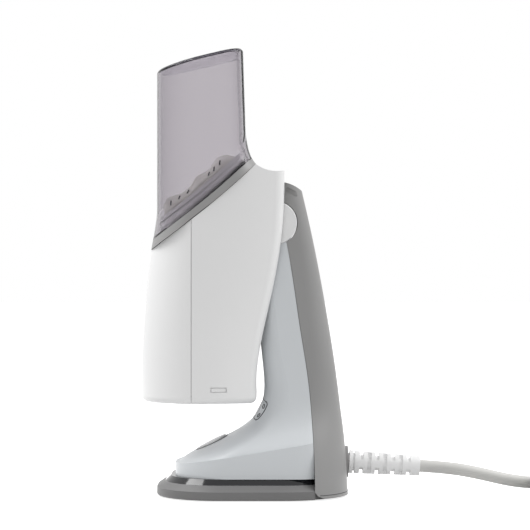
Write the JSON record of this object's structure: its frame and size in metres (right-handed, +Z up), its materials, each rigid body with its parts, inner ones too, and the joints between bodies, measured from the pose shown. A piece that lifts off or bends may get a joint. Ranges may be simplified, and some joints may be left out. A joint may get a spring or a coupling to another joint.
{
  "type": "garment steamer",
  "caption": "Table-standing garment steamer: folding steam head on a column with a foot, lift-off smoky water tank on a sloping collar, power button and mains lead",
  "frame": {"origin": "on the floor under the middle of the object's length and width, without its lead", "axes": "+Z up, toe of the foot to -X, lead leaves at +X, mirror plane at Y = 0"},
  "size_m": [0.3961, 0.1201, 0.2677],
  "materials": {
    "white_shell": "moulded, satin gloss",
    "grey_shell": "moulded, satin",
    "black_band": "moulded, high gloss",
    "panel_dark": "moulded, satin",
    "rubber_black": "moulded rubber",
    "steel": "plated",
    "sleeve_plastic": "moulded",
    "board_green": "laminate",
    "alloy": "die cast",
    "heater_steel": "drawn tube",
    "pump_plastic": "moulded",
    "hose_clear": "silicone",
    "tank_clear": "clear tinted plastic",
    "strainer_grey": "moulded",
    "cord_grey": "extruded sheath",
    "tie_black": "hook and loop tape",
    "plug_grey": "moulded on"
  },
  "bodies": {
    "stand": {"base_plate": "grey_shell", "base_band": "black_band", "rubber_feet": "rubber_black", "base_screws": "steel", "ballast_plate": "steel", "front_shell": "white_shell", "rear_shell": "grey_shell", "pivot_caps": "white_shell", "hinge_bracket": "steel", "friction_washers": "steel", "board_spacers": "sleeve_plastic", "control_board": "board_green", "switch_holder": "sleeve_plastic", "button_switch": "sleeve_plastic", "button_spring": "steel", "indicator_panel": "panel_dark", "strain_relief": "white_shell", "cord_clamp": "sleeve_plastic", "power_cord": "cord_grey", "cord_coil": "cord_grey", "cord_tie": "tie_black", "plug_body": "plug_grey", "plug_pins": "steel"},
    "head": {"head_front_shell": "white_shell", "head_rear_shell": "white_shell", "pivot_shaft": "steel", "shaft_sleeve": "sleeve_plastic", "steam_plate": "alloy", "plate_seal": "rubber_black", "steam_chamber": "alloy", "heater": "heater_steel", "thermostat": "sleeve_plastic", "thermal_fuse": "sleeve_plastic", "pump": "pump_plastic", "steam_hose": "hose_clear", "water_hose": "hose_clear", "tank_collar": "grey_shell", "valve_socket": "grey_shell", "inlet_seal": "rubber_black"},
    "tank": {"tank_shell": "tank_clear", "tank_floor": "tank_clear", "tank_strainer": "strainer_grey"},
    "valve_cap": {"valve_cap": "strainer_grey", "valve_spring": "steel"},
    "valve_poppet": {"valve_poppet": "strainer_grey"},
    "power_button": {"power_button": "white_shell"}
  },
  "joints": [
    {"name": "head_tilt", "type": "hinge", "parent": "stand", "child": "head", "pos_m": [0.0185, 0, 0.162], "axis": [0, 1, 0], "range_deg": [0, 90]},
    {"name": "tank_lift", "type": "slide", "parent": "head", "child": "tank", "axis": [-0.6264, 0, 0.7795], "range_m": [0, 0.05]},
    {"name": "valve_turn", "type": "hinge", "parent": "tank", "child": "valve_cap", "pos_m": [-0.02106, 0, 0.17136], "axis": [-0.6264, 0, 0.7795], "range_deg": [0, 90]},
    {"name": "valve_open", "type": "slide", "parent": "valve_cap", "child": "valve_poppet", "axis": [-0.6264, 0, 0.7795], "range_m": [0, 0.0018], "stiffness_N_per_m": 150, "deforming": ["valve_spring"]},
    {"name": "button_press", "type": "slide", "parent": "stand", "child": "power_button", "axis": [0.4478, 0, -0.8942], "range_m": [0, 0.0015], "stiffness_N_per_m": 600, "deforming": ["button_spring"]}
  ]
}
